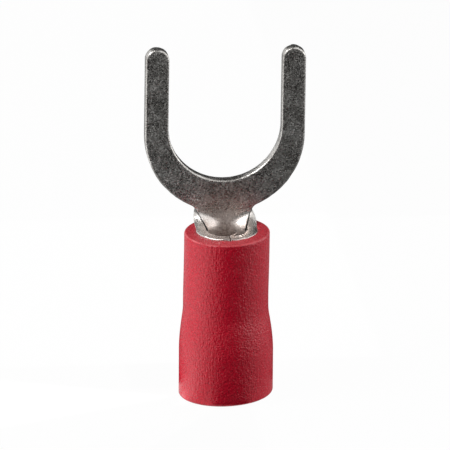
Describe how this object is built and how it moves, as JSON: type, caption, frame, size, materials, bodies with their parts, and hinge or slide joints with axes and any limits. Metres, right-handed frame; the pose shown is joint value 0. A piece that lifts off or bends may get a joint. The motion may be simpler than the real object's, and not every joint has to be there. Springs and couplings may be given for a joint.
{
  "type": "fork terminal",
  "caption": "Insulated crimp fork terminal: a flat forked tongue of tinned copper curls into a rolled wire barrel inside a flared vinyl sleeve.",
  "frame": {"origin": "centre of the sleeve's wire-entry end, on the barrel axis", "axes": "+Z along the barrel axis from the wire entry to the fork tips, +X across the fork, +Y out of the fork's back face, away from the barrel's seam"},
  "size_m": [0.0074, 0.0044, 0.0166],
  "materials": {
    "tinned_copper": "dull tin plate over copper, fine grain, rounded stamped edges",
    "red_vinyl": "semi-matte flexible vinyl with a fine grain"
  },
  "bodies": {
    "root": {"fork_body": "tinned_copper", "insulating_sleeve": "red_vinyl"}
  },
  "joints": []
}
